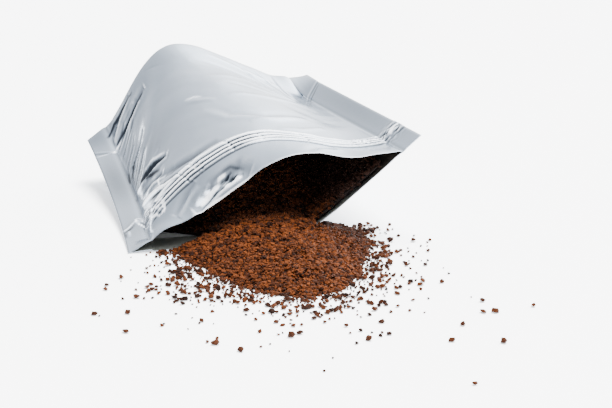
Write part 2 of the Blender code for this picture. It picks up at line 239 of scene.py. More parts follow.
def crease(x, y, line, width, height, kind="ridge"):
    """Height in mm that a crease adds at flat places x, y. A ridge is round, and a lap has one side up."""
    line = np.array(line, float)
    starts, ends = line[:-1], line[1:]
    lengths = np.linalg.norm(ends - starts, axis=1)
    total, before = lengths.sum(), 0.0
    best, along, side = np.full(x.shape, 1e9), np.zeros(x.shape), np.zeros(x.shape)
    for start, end, length in zip(starts, ends, lengths):
        dx, dy = (end - start) / length
        share = np.clip((x - start[0]) * dx + (y - start[1]) * dy, 0, length)
        off_x, off_y = x - start[0] - share * dx, y - start[1] - share * dy
        distance = np.hypot(off_x, off_y)
        nearer = distance < best
        best = np.where(nearer, distance, best)
        along = np.where(nearer, (before + share) / total, along)
        side = np.where(nearer, dx * off_y - dy * off_x, side)
        before += length
    fade = np.clip(4 * along * (1 - along), 0, 1) ** FADE_POWER
    if kind == "lap":
        shape = side / width * np.exp(0.5 - 0.5 * (best / width) ** 2)
    else:
        shape = bell(best, 0, width)
    return height * fade * shape


def field_noise(x, y, size, seed, slant=(1, 0, 0, 1)):
    """Smooth noise between about -1 and 1 over flat places, with features of one size in mm. Slant holds the
    shares of x and y in the noise's own two axes, which stretch and turn the features."""
    values = np.random.default_rng(seed).uniform(-1, 1, (NOISE_CELLS, NOISE_CELLS))
    across, down = slant[0] * x + slant[1] * y, slant[2] * x + slant[3] * y
    u, v = np.broadcast_arrays(np.asarray(across / size, float), np.asarray(down / size, float))
    i, j = np.floor(u).astype(int), np.floor(v).astype(int)

    def pick(p, q):
        return values[p % NOISE_CELLS, q % NOISE_CELLS]

    a, b = smooth(u - i), smooth(v - j)
    return mix(mix(pick(i, j), pick(i + 1, j), a), mix(pick(i, j + 1), pick(i + 1, j + 1), a), b)


def waves(x, y, layers, folded=False):
    """Layers of noise added up. Each layer: height, size, seed and slant. Folded noise has its lower half
    turned up, so that it has sharp valleys."""
    fold = np.abs if folded else np.asarray
    return sum(height * fold(field_noise(x, y, *kind)) for height, *kind in layers)


def patch(x, y, middle_x, middle_y, half_x, half_y):
    """1 in the middle of an oval patch, and less away from it."""
    return bell(x, middle_x, half_x) * bell(y, middle_y, half_y)


print("noise at one place", field_noise(1.5, 2.5, 3.0, 1))

# %% The wrinkles of the upper panel
# Each entry: the line as (mm across from the left seal, mm behind the mouth), its half width, its height,
# and "lap" where it isn't a ridge.
UPPER_CREASES = [
    ([(-1, 142), (9, 149), (19, 151)], 1.6, -1.0),
    ([(0, 138), (9, 145), (19, 149)], 1.2, 0.5),
    ([(-1, 130), (8, 138), (20, 142), (27, 142)], 2.2, -1.5),
    ([(0, 127), (9, 134), (22, 139)], 1.4, 0.6),
    ([(0, 135), (10, 142), (18, 144)], 0.8, -0.4),
    ([(0, 119), (9, 129), (15, 135)], 0.8, -0.5),
    ([(0, 104), (7, 115), (12, 123)], 0.8, -0.5),
    ([(0, 97), (6, 107), (10, 114)], 0.8, 0.4),
    ([(0, 90), (5, 100), (12, 106), (17, 112)], 0.9, -0.9),
    ([(1, 85), (7, 95), (15, 102)], 0.9, 0.35),
    ([(0, 77), (6, 85), (13, 94)], 0.8, -0.5),
    ([(1, 70), (9, 73), (18, 75)], 1.1, 0.4),
    ([(3, 73), (10, 68), (20, 61)], 2.1, -1.9),
    ([(2, 66), (10, 62), (20, 57)], 1.6, 1.1),
    ([(3, 59), (9, 54), (15, 50)], 1.6, -1.3),
    ([(4, 53), (10, 48), (15, 43)], 1.5, 0.9),
    ([(5, 47), (9, 43), (13, 39)], 1.1, -1.0),
    ([(10, 50), (20, 41), (32, 36), (48, 34)], 3.2, -1.5),
    ([(42, 92), (50, 86), (60, 80)], 1.8, 0.45),
    ([(50, 74), (62, 57), (86, 52), (118, 68)], 3.0, -0.5, "lap"),
    ([(72, 46), (92, 50), (116, 64)], 2.6, 0.45),
    ([(88, 36), (104, 40), (124, 52)], 2.4, 0.4),
    ([(100, 150), (120, 128), (129, 108)], 1.5, -0.6),
    ([(118, 152), (127, 130), (130, 108)], 1.3, 0.6),
    ([(134, 153), (133, 130), (131, 108)], 1.2, -0.7),
    ([(88, 122), (110, 114), (129, 107)], 1.6, 0.5),
    ([(74, 104), (102, 104), (128, 105)], 1.8, -0.5),
    ([(70, 84), (100, 90), (127, 102)], 2.0, 0.5),
    ([(75, 146), (106, 143), (136, 138)], 1.8, 0.5),
    ([(60, 138), (92, 134), (124, 128)], 1.8, -0.4),
    ([(60, 112), (80, 116), (98, 119)], 2.4, 0.3),
    ([(36, 146), (25, 128), (13, 99), (10, 76)], 5.0, 0.9),
    ([(-1, 54), (1, 50), (6, 43), (13, 34), (22, 29), (30, 28)], 1.3, 1.5),
    ([(-2, 69), (3, 68), (8, 64)], 1.8, 1.0),
]
# The crushed end of the zip: short stiff folds over the left seal and beside it.
BOX_FOLDS = [
    ([(-4, 45), (-3, 41), (2, 36), (6, 25), (10, 16)], 0.8, 0.4),
    ([(-2, 42), (1, 39)], 0.8, 0.3),
    ([(-1, 37), (3, 26), (6, 21)], 0.8, 0.35),
    ([(-1, 33), (2, 25), (4, 21)], 0.8, -0.3),
    ([(2, 23), (7, 18)], 0.8, 0.3),
    ([(-3, 43), (-8, 34), (-12.5, 29)], 1.0, 0.35),
    ([(-9, 30), (-9.5, 21)], 0.8, 0.15),
]
# Where the film is bent so sharply that it looks dark (below 0) or glints (above 0), painted into its colour
# as
# painted shade or a painted highlight: line, half width, tone.
PAINTED_FOLD_LIGHT = [
    ([(1, 136), (9.5, 139), (17, 140.7), (25, 141)], 0.9, -1.8),
    ([(-2, 144), (6, 149.2), (13, 150), (21, 149)], 0.8, -1.6),
    ([(-0.5, 133), (5.5, 137), (9, 138)], 0.5, 1.0),
    ([(0, 90), (1.2, 100)], 0.7, -1.0),
    ([(1.8, 98), (7.2, 101), (13, 105)], 0.7, -1.1),
    ([(4, 74), (12, 69.5), (19, 61)], 1.2, -2.0),
    ([(6, 77), (13, 73), (19.5, 65)], 0.8, 0.8),
    ([(5, 68), (10, 60), (14, 54)], 0.9, -1.4),
    ([(16, 44), (29, 35.5), (39, 33.5), (52, 33)], 2.2, -0.45),
    ([(1, 50), (6, 43), (13, 34), (22, 28.8), (28, 28)], 1.0, 1.5),
    ([(4, 49), (8, 43), (15, 35.5), (24, 31.5)], 0.5, -0.9),
    ([(5, 40), (12, 31.5), (22, 26.2)], 0.5, -1.0),
    ([(6.8, 27.5), (15.8, 24.8), (24, 23.5)], 0.7, 1.5),
    ([(8, 25), (16, 22.9), (24, 22)], 0.4, -1.2),
    ([(8.2, 22.6), (18, 21.4), (27, 21)], 0.6, 1.4),
    ([(-4, 45), (-3.4, 38), (0, 30), (4, 22), (8, 16)], 0.5, 2.2),
    ([(-2, 42.5), (1, 35), (5.4, 26), (9, 20)], 0.45, 2.0),
    ([(-0.2, 39), (3.4, 30.5), (7.4, 22.5)], 0.5, -1.6),
    ([(2.4, 39), (6, 30.5), (9.2, 24)], 0.5, -1.4),
    ([(-4, 45), (1, 41.5), (6.5, 30), (10, 25)], 0.5, 2.0),
    ([(8, 16), (10.5, 17.5), (10.5, 22)], 0.5, 1.6),
    ([(10, 25), (11.5, 20), (10, 15)], 0.45, 1.2),
    ([(-1.2, 34), (2.4, 26), (6, 19)], 0.4, -1.4),
    ([(-2.4, 38.5), (1.6, 31), (4.4, 25)], 0.4, -1.1),
    ([(-4, 43), (-8, 35), (-12.5, 29)], 0.5, 1.0),
    ([(-4, 40.5), (-8, 32), (-12.5, 26)], 0.6, -0.6),
    ([(-9, 30), (-9.5, 21)], 0.4, 0.8),
    ([(-11, 27), (-11.4, 20)], 0.4, -0.6),
    ([(12, 50), (10.5, 41)], 0.4, 1.3),
    ([(28, 6.5), (33, 9.2), (40, 11), (49, 12), (56, 8)], 0.9, -0.4),
    ([(44, 11.6), (50, 11.6), (57, 6.5)], 0.7, -0.45),
    ([(29, 4), (36, 6.8), (42, 8.4)], 1.3, 2.2),
    ([(44, 4), (55, 4.2)], 0.9, 2.0),
    ([(41, 10), (46, 10.3)], 0.6, 1.8),
    ([(24, 0.2), (40, 0.2), (62, 0.2)], 0.7, 1.4),
    ([(60, 0.2), (90, 0.2), (120, 0.2), (146, 0.2)], 0.5, 0.7),
    ([(44.5, 8.6), (50, 9.4)], 0.8, -0.9),
    ([(48, 7), (56, 4.4)], 0.7, -0.9),
    ([(30, 2.6), (38, 4.6), (43, 6)], 0.6, -0.8),
    ([(41.5, 94), (47.8, 92), (52.5, 88)], 0.9, 0.6),
    ([(71, 31.2), (72.6, 31.4)], 0.8, -1.2),
    ([(-12, 132.2), (-1, 131.6)], 0.5, 0.7),
    ([(-2, 131.6), (-0.6, 131.2)], 0.7, 1.8),
    ([(161, 133), (150, 126), (140, 118)], 0.5, -0.7),
    ([(154.5, 20), (157, 24), (160, 25), (162, 24)], 0.9, 1.6),
    ([(152, 27), (154, 23)], 0.9, -1.2),
    ([(126, 26), (138, 25.5), (148, 24)], 1.0, 1.0),
    ([(49.5, 31.5), (52.5, 25), (54, 19)], 0.5, 1.3),
    ([(51, 31), (53.5, 25), (55.5, 19.5)], 0.4, -1.0),
    ([(28, 31), (30.5, 25), (33.5, 20)], 0.45, 1.0),
    ([(69, 30), (72.5, 27.5)], 0.5, 1.0),
    ([(95, 30), (99, 27)], 0.6, 0.8),
    ([(60, 20.5), (73, 20.3), (82, 21.5)], 0.9, 1.2),
    ([(78, 30), (88, 29.8), (97, 27)], 0.8, 1.2),
    ([(99, 28), (106, 29.5), (114, 28.5)], 1.0, 1.0),
    ([(116, 23), (128, 22), (140, 22)], 0.8, 0.8),
]
# Broad patches of painted shade on the film, where it should mirror darker parts of the room: middle across
# and along, half sizes, and tone.
PAINTED_SHADE_PATCHES = [
    (-7, 96, 9, 36, -0.5),
    (-8, 28, 9, 26, -0.3),
    (-8, 150, 9, 14, -0.15),
    (158, 70, 7, 60, -0.22),
    (16, 86, 12, 14, -0.2),
    (5, 84, 5, 24, -0.2),
    (31, 14, 10, 8, -0.15),
    (3, 32, 4.5, 6, -0.7),
]
# The lip is dented and bent down where it hangs in front of the zip.
LIP_DENTS = [
    ([(26, 2), (38, 8), (54, 9), (60, 3)], 3.4, -2.2),
    ([(30, 0), (42, 3), (54, 3)], 1.6, 1.1),
    ([(16, 6), (24, 12), (30, 15)], 2.2, -0.6, "lap"),
    ([(96, 1), (104, 9), (118, 15)], 2.5, -0.5, "lap"),
]
LIP_BEND = -2.2
# A broad swell at the right of the lip, and the places where the zip's right end is crushed into small
# facets: middle across and along, half sizes and height, all in mm.
SWELL = (134, 0, 13, 16, 2.2)
CRUSHED = [(137, 24, 9, 4, 0.45), (156, 24, 6, 6, 0.6)]
CRUSH_GAIN, CRUSH_START = 2.4, 0.7
# The sharp dent in the lip: its middle and half sizes, its slant, the height of its facets, its depth, and
# how steep its edge is.
DENT = (43, 6.5, 13, 3.4)
DENT_SLANT, DENT_FACETED, DENT_DEEP, DENT_EDGE = 0.06, 2.2, 1.6, 1.6
# Streaks run up the left flank: its middle and half width across.
FLANK_MIDDLE, FLANK_HALF = 6, 9
# Layers of noise: height, size and seed, and the slant where there is one.
STREAKS = [(0.35, 3.0, 11, (0.35, -0.12, -0.9, 0.55))]
UNEVEN = [(0.3, 17, 12), (0.03, 6, 13, (1, 0.5, -0.5, 1)), (0.1, 9, 18, (0.3, -0.2, 0.6, 1))]
CRUSH_FACETS = [(1, 3.2, 14, (1, 0.4, 0, 1)), (0.6, 1.9, 15, (1, 0, -0.6, 1))]
DENT_FACETS = [(1, 4.5, 16, (1, 1, -0.4, 1)), (0.5, 2.6, 17, (1, -2, 0, 1))]
RAMP_WAVES = [(0.5, 14, 21, (1, -0.6, 0, 0.3)), (0.15, 5, 22)]
print(len(UPPER_CREASES), "creases and", len(PAINTED_FOLD_LIGHT), "lines of tone on the upper panel")

# %% The ribs of the zip, as they show through the film
ALONG_ZIP = (1, 0, 0, 0)
ZIP_WANDER = [(0.5, 19, 5, ALONG_ZIP)]
ZIP_RIBS = ((-3.6, 0.7, 0.8), (-0.7, 0.8, 0.9), (3.0, 0.9, 1.7))  # middle, height and half width, in mm
RIB_STRENGTH, RIB_CHANGE = 0.75, [(0.35, 8, 6, ALONG_ZIP)]
RIB_DRIFT, RIB_DRIFT_SIZE, RIB_SEED = 0.4, 11, 50
BAND_TALL, BAND_EDGE = 0.9, 1.5
ZIP_NICKS = (24.0, 30.5, 33.0, 52.5, 71.0, 98.0)
NICK_DEEP, NICK_HALF, NICK_SLANT = 0.4, 0.55, 0.4


def zip_offset(x, y):
    """Distance behind the middle of the zip, which wanders a little."""
    return y - ZIP_AT / MM - waves(x, y, ZIP_WANDER)


def zip_ribs(x, y):
    """The raised band over the zip, with its rounded ribs and the nicks across them."""
    off = zip_offset(x, y)
    ribs = 0
    for number, (at, tall, wide) in enumerate(ZIP_RIBS):
        drift = waves(x, y, [(RIB_DRIFT, RIB_DRIFT_SIZE, RIB_SEED + number, ALONG_ZIP)])
        ribs = ribs + tall * bell(off - drift, at, wide)
    nicks = sum(bell(x + NICK_SLANT * off, at, NICK_HALF) for at in ZIP_NICKS)
    band = (1 - rise(np.abs(off), ZIP_WIDTH / MM / 2, BAND_EDGE)) * rise(x, 1, 7)
    tall = BAND_TALL + ribs * (RIB_STRENGTH + waves(x, y, RIB_CHANGE)) - NICK_DEEP * np.clip(nicks, 0, 1)
    return np.clip(band * tall, 0, None)


print("band over the zip", zip_ribs(np.array(60.0), np.array(25.0)), "mm high at one place")


# %% The relief of each panel, in mm
# The numbers given to rise and bell are places and lengths on the flat film.
def on_panel(x):
    """1 on the panel and 0 on the seals."""
    return rise(x, 0, 2.5) * rise(x, PANEL_ARC / MM, -2.5)


def creases(x, y, lines):
    return sum(crease(x, y, *line) for line in lines)


def lip_relief(x, y):
    """The dents of the lip, and how it bends down."""
    bend = LIP_BEND * rise(y, 11, -10) * rise(x, 24, 12) * rise(x, 68, -16)
    return creases(x, y, LIP_DENTS) * rise(y, 22, -5) + bend


def crushed_relief(x, y):
    """The facets at the right end of the zip. On the seal they only stand out."""
    height = np.clip(CRUSH_GAIN * waves(x, y, CRUSH_FACETS, folded=True) - CRUSH_START, -on_panel(x), None)
    return sum(strength * patch(x, y, *middle) for *middle, strength in CRUSHED) * height


def dent_relief(x, y):
    """An oval full of facets, which is deepest in its middle."""
    middle_x, middle_y, half_x, half_y = DENT
    off_y = y - middle_y + DENT_SLANT * (x - middle_x)
    inside = smooth(DENT_EDGE - DENT_EDGE * np.hypot((x - middle_x) / half_x, off_y / half_y))
    return inside * (DENT_FACETED * waves(x, y, DENT_FACETS, folded=True) - DENT_DEEP)


def upper_relief(x, y):
    """Everything that stands out of the smooth upper panel or into it."""
    inside = on_panel(x)
    flank = bell(x, FLANK_MIDDLE, FLANK_HALF) * rise(y, 45, 15)
    relief = creases(x, y, UPPER_CREASES) * rise(y, 28, 10) + lip_relief(x, y)
    relief = relief + flank * waves(x, y, STREAKS) + waves(x, y, UNEVEN)
    relief = relief + SWELL[4] * patch(x, y, *SWELL[:4])
    relief = relief * inside + creases(x, y, BOX_FOLDS) + zip_ribs(x, y) * mix(0.5, 1.0, inside)
    return relief + crushed_relief(x, y) + dent_relief(x, y)


MOUTH_LIFT = 4.5
RAMPS_BETWEEN = 55


def mouth_lift(x, y):
    """The two films part at the end of the left seal, and the upper one stands off the floor there."""
    return MOUTH_LIFT * rise(x, -12, 13) * rise(x, 24, -20) * rise(y, 16, -16)


def lower_relief(x, y):
    """The lower panel lies smooth on the floor and wrinkles softly on its ramps."""
    return rise(np.abs(x - RAMPS_BETWEEN), 30, 25) * on_panel(x) * waves(x, y, RAMP_WAVES)


print("relief at one place", upper_relief(np.array([[40.0]]), np.array([[60.0]])).item(), "mm")

# %% [markdown]
# A panel is a closed sheet: an outer face, an inner face one film thickness below it, and a rim that joins
# them. It runs from the outer edge of one seal to the outer edge of the other. Rows of points are set
# closer together beside the mouth, where the zip and the dents need them. The outer face wears foil, and
# the inner face the grey liner.

# %% Build a sheet of film
COLUMNS_SEAL = 12
# Bands across the panel and along it: from and to in mm, and the number of steps.
COLUMN_BANDS = [(0, 30, 70), (30, 118, 84), (118, 150, 52)]
ROW_BANDS = [(0, 14, 20), (14, 34, 56), (34, 56, 36), (56, 126, 50), (126, 154, 42)]
COLUMNS_PANEL = sum(count for _, _, count in COLUMN_BANDS)
# The folded gusset ends this far from the bottom, which shows as a step in the seals.
GUSSET_REACH, GUSSET_STEP = 24, 0.45
# A groove runs along each weld, and the panel swells over the bottom right corner.
WELD_GROOVE, CORNER_SWELL = -0.25, 2.6


def banded(bands):
    """Shares from 0 to 1, with the given number of steps in each band."""
    steps = [np.linspace(low, high, count, endpoint=False) for low, high, count in bands]
    return np.concatenate([*steps, [bands[-1][1]]]) / bands[-1][1]


def film_grid():
    """Places across (below 0 and above 1 on the seals) and along, as two flat grids."""
    seal = np.linspace(0, 1, COLUMNS_SEAL, endpoint=False)
    places = np.concatenate([seal - 1, banded(COLUMN_BANDS), 2 - seal[::-1]])
    return np.meshgrid(places, banded(ROW_BANDS))


def film_points(panel, places, rows):
    """Points of a panel with its seals."""
    left, left_in, right_in, right = seal_lines(rows)
    between = panel(np.clip(places, 0, 1), rows)
    on_left = mix(left, left_in, (places + 1)[..., None])
    on_right = mix(right_in, right, (places - 1)[..., None])
    return np.where((places < 0)[..., None], on_left, np.where((places > 1)[..., None], on_right, between))


def normals_of(points):
    """Upward normals of a grid of points."""
    return unit(np.cross(np.gradient(points, axis=1), np.gradient(points, axis=0)))


def film_normals(points, places):
    """Upward normals of a panel. On the seals both panels share the seal's own."""
    normals = normals_of(points)
    for on_seal in (places[0] <= 0, places[0] >= 1):
        normals[:, on_seal] = normals_of(points[:, on_seal])
    return normals


def flat_places(places, rows):
    """Places on the flat film, in mm across from the left seal and behind the mouth."""
    seal, arc = SEAL_WIDTH / MM, PANEL_ARC / MM
    x = np.where(places < 0, places * seal, np.where(places > 1, arc + (places - 1) * seal, places * arc))
    return x, rows * PANEL_LENGTH / MM


def seal_relief(x, y, arc=PANEL_ARC / MM):
    """The step where the folded gusset ends under each seal, and the groove along the weld, in mm."""
    out = np.maximum(-x, x - arc)
    gusset_end = (PANEL_LENGTH / MM - GUSSET_REACH) + 0.5 * np.clip(out, 0, SEAL_WIDTH / MM)
    step = GUSSET_STEP * rise(y, gusset_end, 1) * rise(out, -1, 2)
    groove = WELD_GROOVE * bell(out, 0.4, 0.8)
    corner = CORNER_SWELL * bell(x, arc - 2, 8) * rise(y, 132, 22)
    return step + groove + corner


def quads(index):
    """Four-cornered faces over a grid of vertex numbers."""
    return np.stack([index[:-1, :-1], index[:-1, 1:], index[1:, 1:], index[1:, :-1]], -1).reshape(-1, 4)


def store(mesh, name, values):
    """Keeps a number for each point of a mesh under a name."""
    mesh.attributes.new(name, "FLOAT", "POINT").data.foreach_set("value", values)


def add_object(name, data):
    made = bpy.data.objects.new(name, data)
    bpy.context.scene.collection.objects.link(made)
    return made


def grid_mesh(name, outer, inner, materials, flat=None, tone=None):
    """A closed sheet between two grids of points, with its flat places as a UV map and its painted shade and
    glints stored.
    """
    rows, columns = outer.shape[:2]
    points = np.concatenate([outer.reshape(-1, 3), inner.reshape(-1, 3)])
    index = np.arange(rows * columns).reshape(rows, columns)
    below = index + index.size
    top, bottom = quads(index), quads(below)[:, ::-1]
    ring = np.concatenate([index[0, :-1], index[:-1, -1], index[-1, :0:-1], index[:0:-1, 0]])
    next_ring = np.roll(ring, -1)
    rim = np.stack([ring, ring + index.size, next_ring + index.size, next_ring], -1)
    faces = np.concatenate([top, bottom, rim])
    mesh = bpy.data.meshes.new(name)
    mesh.from_pydata((points - ORIGIN).tolist(), [], faces.tolist())
    for material in materials:
        mesh.materials.append(material)
    which = np.zeros(len(faces), int)
    which[len(top):len(top) + len(bottom)] = len(materials) - 1
    mesh.polygons.foreach_set("material_index", which)
    mesh.shade_smooth()
    if flat is not None:
        uv = np.tile(np.stack(flat, -1).reshape(-1, 2) * MM, (2, 1))
        corners = np.empty(len(mesh.loops), int)
        mesh.loops.foreach_get("vertex_index", corners)
        mesh.uv_layers.new(name="film").data.foreach_set("uv", uv[corners].ravel())
    if tone is not None:
        store(mesh, "tone", np.tile(tone.ravel(), 2))
    piece = add_object(name, mesh)
    outward_faces(piece)
    print(name, len(faces) * 2, "triangles")
    return piece


def outward_faces(piece):
    """Turns a closed piece the right way out."""
    work = bmesh.new()
    work.from_mesh(piece.data)
    if work.calc_volume(signed=True) < 0:
        bmesh.ops.reverse_faces(work, faces=work.faces)
    work.to_mesh(piece.data)
    work.free()


print("a panel has", film_grid()[0].size, "points on each face")

# %% [markdown]
# Shader maths reads best as arithmetic. The Value class wraps an output socket, so that 0.3 + 0.1 * mask
# adds its Math nodes by itself, and one method of Tree makes every other node from its type, the values of
# its sockets and its settings. The same class builds the Geometry Nodes further down.

# %% Node helpers
def arithmetic(operation, swapped=False):
    """The method of Value that stands for one operator."""
    def combine(self, other):
        pair = (other, self) if swapped else (self, other)
        return self.tree.make("ShaderNodeMath", dict(enumerate(pair)), operation=operation)
    return combine


class Value:
    def __init__(self, tree, socket):
        self.tree, self.socket = tree, socket

    def out(self, name):
        return Value(self.tree, self.socket.node.outputs[name])

    __add__ = arithmetic("ADD")
    __radd__ = arithmetic("ADD", swapped=True)
    __sub__ = arithmetic("SUBTRACT")
    __rsub__ = arithmetic("SUBTRACT", swapped=True)
    __mul__ = arithmetic("MULTIPLY")
    __rmul__ = arithmetic("MULTIPLY", swapped=True)
    __truediv__ = arithmetic("DIVIDE")
    __pow__ = arithmetic("POWER")


def set_stops(ramp, stops):
    """Gives a colour ramp its stops. A new ramp has two already."""
    for number, (at, colour) in enumerate(stops):
        element = ramp.elements[number] if number < 2 else ramp.elements.new(at)
        element.position, element.color = at, (*colour, 1)


class Tree:
    def __init__(self, nodes):
        self.nodes = nodes

    def make(self, kind, inputs=None, **settings):
        node = self.nodes.nodes.new(kind)
        for name, value in settings.items():
            if name == "stops":
                set_stops(node.color_ramp, value)
            else:
                setattr(node, name, value)
        for name, value in (inputs or {}).items():
            self.feed(node.inputs[name], value)
        shown = [socket for socket in node.outputs if socket.enabled]
        return Value(self, shown[0]) if shown else node

    def feed(self, socket, value):
        """Links a Value to a socket, or sets the socket to a constant."""
        if isinstance(value, Value):
            self.nodes.links.new(value.socket, socket)
        else:
            socket.default_value = value

    def clamped(self, value):
        return self.make("ShaderNodeClamp", {"Value": value})

    def attribute(self, name):
        return self.make("ShaderNodeAttribute", attribute_name=name).out("Fac")

    def bump(self, strength, distance, height):
        inputs = {"Strength": strength, "Distance": distance, "Height": height}
        return self.make("ShaderNodeBump", inputs)

    def mixed(self, share, a, b):
        """A mix of two colours, each three numbers or a Value. A Mix node takes colours at inputs 6 and 7."""
        a, b = (colour if isinstance(colour, Value) else (*colour, 1) for colour in (a, b))
        made = self.make("ShaderNodeMix", {0: share, 6: a, 7: b}, data_type="RGBA")
        return Value(self, made.socket.node.outputs[2])


def new_material(name):
    material = bpy.data.materials.new(name)
    material.use_nodes = True
    tree = Tree(material.node_tree)
    return material, tree, material.node_tree.nodes["Principled BSDF"]


def set_sockets(tree, node, **values):
    for name, value in values.items():
        tree.feed(node.inputs[name.replace("_", " ")], value)


def place(tree):
    return tree.make("ShaderNodeTexCoord").out("Object")


def noise_at(tree, scale, detail=2.0, rough=0.5):
    inputs = {"Vector": place(tree), "Scale": scale, "Detail": detail, "Roughness": rough}
    return tree.make("ShaderNodeTexNoise", inputs)


print("node helpers ready")

# %% [markdown]
# The outside is a matt-silver laminate: metal under a clear film. Most of its look is in how sharply it
# mirrors the studio, so its roughness drifts a little from place to place, and two sizes of very low bump
# break up the mirror image as handled foil does. Its colour also carries painted light: painted shade, near
# black, in the grooves of its folds, and painted glints, white, rougher and less metallic, on their ridges.

# %% Foil outside and liner inside
DARKER_FROM, DARKER_SPREAD = 45 * MM, 25 * MM
PAINTED_LIGHT_GAIN = 1.2


def foil_material():
    material, tree, shader = new_material("foil")
    broad = noise_at(tree, 22, 2)
    fine = noise_at(tree, 420, 3, 0.6)
    crinkle = noise_at(tree, 95, 2, 0.55)
    height = 0.35 * crinkle + 0.12 * fine
    bump = tree.bump(0.3, 0.9 * MM, height)
    tone = tree.attribute("tone")
    plain = tree.mixed(broad, (0.43, 0.495, 0.575), (0.5, 0.56, 0.635))
    # Painted shade: below 0 the stored painted light turns the colour towards near black.
    dark = tree.mixed(tree.clamped(-PAINTED_LIGHT_GAIN * tone), plain, (0.03, 0.038, 0.05))
    # Painted glint: above 0 it turns the colour white, and the foil rougher and less metallic.
    painted_glint = tree.clamped(PAINTED_LIGHT_GAIN * tone)
    colour = tree.mixed(painted_glint, dark, (0.95, 0.97, 1.0))
    set_sockets(tree, shader, Base_Color=colour, Metallic=1 - 0.6 * painted_glint,
                Roughness=0.14 + 0.1 * broad + 0.25 * painted_glint, Normal=bump)
    return material


def liner_material():
    """Grey plastic, darker far to the right."""
    material, tree, shader = new_material("liner")
    broad = noise_at(tree, 30, 2)
    bump = tree.bump(0.3, 0.8 * MM, noise_at(tree, 110, 2))
    across = tree.make("ShaderNodeSeparateXYZ", {0: place(tree)}).out("X")
    darker_right = tree.clamped((across - DARKER_FROM) / DARKER_SPREAD + 0.5 * broad)
    plain = tree.mixed(broad, (0.13, 0.135, 0.12), (0.18, 0.185, 0.17))
    colour = tree.mixed(darker_right, plain, (0.03, 0.024, 0.02))
    set_sockets(tree, shader, Base_Color=colour, Metallic=0.1, Roughness=0.4 + 0.1 * broad, Normal=bump)
    return material


def zip_material():
    material, tree, shader = new_material("zip_plastic")
    colour = tree.mixed(noise_at(tree, 60, 1), (0.30, 0.31, 0.30), (0.38, 0.39, 0.38))
    set_sockets(tree, shader, Base_Color=colour, Roughness=0.3 + 0.1 * noise_at(tree, 200, 1))
    return material


foil, liner, zip_plastic = foil_material(), liner_material(), zip_material()
print("materials", foil.name, liner.name, zip_plastic.name)

# %% The two panels
places, rows = film_grid()
flat = flat_places(places, rows)
# How strongly bends are painted as shade and glints; where the zip's gaps lie, painted as shade, and how much
# painted highlight its ribs and painted shade its gaps get.
BEND_LIGHT_GAIN = 0.9
ZIP_GAPS, GAP_HALF = (-5.0, -2.2, 1.1), 0.45
TUBE_HIGHLIGHT, GAP_SHADE, RIGHT_TUBE_HIGHLIGHT = 0.55, 0.8, 0.25
OFF_THE_FLOOR = 0.05 * MM
# Half the gap that stays between the two films at the seals.
SEAL_GAP = 0.03 * MM


def bend_painted_light(relief):
    """How sharply the film is bent, as painted light: below 0 paints shade in grooves, above 0 a glint on
    ridges.
    """
    x, y = flat[0][0], flat[1][:, 0]
    across = np.gradient(np.gradient(relief, x, axis=1), x, axis=1)
    along = np.gradient(np.gradient(relief, y, axis=0), y, axis=0)
    return np.tanh(-(across + along) * BEND_LIGHT_GAIN)


def painted_shade_and_highlight(x, y):
    """Painted shade and glints of the folds too fine for the mesh, broad painted shade, and painted light on
    the zip's ribs and dark gaps between them.
    """
    lines = sum(strength * crease(x, y, line, width, 1.0) for line, width, strength in PAINTED_FOLD_LIGHT)
    shade_patches = sum(strength * patch(x, y, *middle) for *middle, strength in PAINTED_SHADE_PATCHES)
    off = zip_offset(x, y)
    gaps = sum(bell(off, at, GAP_HALF) for at in ZIP_GAPS)
    tubes = sum(bell(off, at, wide) for at, _, wide in ZIP_RIBS)
    left = rise(x, 5, 6) * rise(x, 95, -30)
    right = rise(x, 60, 20) * rise(x, 150, -20)
    return lines + shade_patches + (TUBE_HIGHLIGHT * tubes - GAP_SHADE * gaps) * left + RIGHT_TUBE_HIGHLIGHT * tubes * right


def panel_faces(panel, relief, side):
    """The outer and inner faces of a panel, its normals, and the painted shade and glints of its folds. Side
    is 1 above and -1 below.
    """
    base = film_points(panel, places, rows)
    normals = film_normals(base, places)
    if side > 0:
        base[..., 2] += mouth_lift(*flat) * MM
    bent, welded = relief(*flat), seal_relief(*flat)
    lift = (side * bent + welded) * MM
    outer = base + normals * (lift + side * FILM)[..., None]
    inner = base + normals * (lift + side * SEAL_GAP)[..., None]
    return outer, inner, normals, bend_painted_light(bent + side * welded)


upper_outer, upper_inner, upper_normals, upper_painted_light = panel_faces(upper, upper_relief, 1)
lower_outer, lower_inner, lower_normals, lower_painted_light = panel_faces(lower, lower_relief, -1)
lower_outer[..., 2] = np.maximum(lower_outer[..., 2], OFF_THE_FLOOR)
lower_inner[..., 2] = np.maximum(lower_inner[..., 2], FILM)
# The upper panel also gets the painted shade and glints of the fine folds, the broad patches and the zip.
upper_painted_light = np.clip(upper_painted_light + painted_shade_and_highlight(*flat), -1, 1)
upper_panel = grid_mesh("upper_panel", upper_outer, upper_inner, [foil, liner], flat, upper_painted_light)
lower_panel = grid_mesh("lower_panel", lower_outer, lower_inner, [foil, liner], flat, lower_painted_light)

# %% [markdown]
# The bottom of a stand-up pouch is a third piece of film, folded inwards between the two panels and welded
# to each along the bottom edge. Filled, it opens into a shallow bowl with its old fold across the middle.

# %% The bottom gusset
GUSSET_RECESS = 9 * MM
GUSSET_ROWS = 46
GUSSET_ARC = 45
GUSSET_OPEN = 30 * MM
GUSSET_WAVES = [(0.5, 13, 31)]
GUSSET_FACETS = [(0.3, 6, 32, (1, -1, 0, 0.4))]


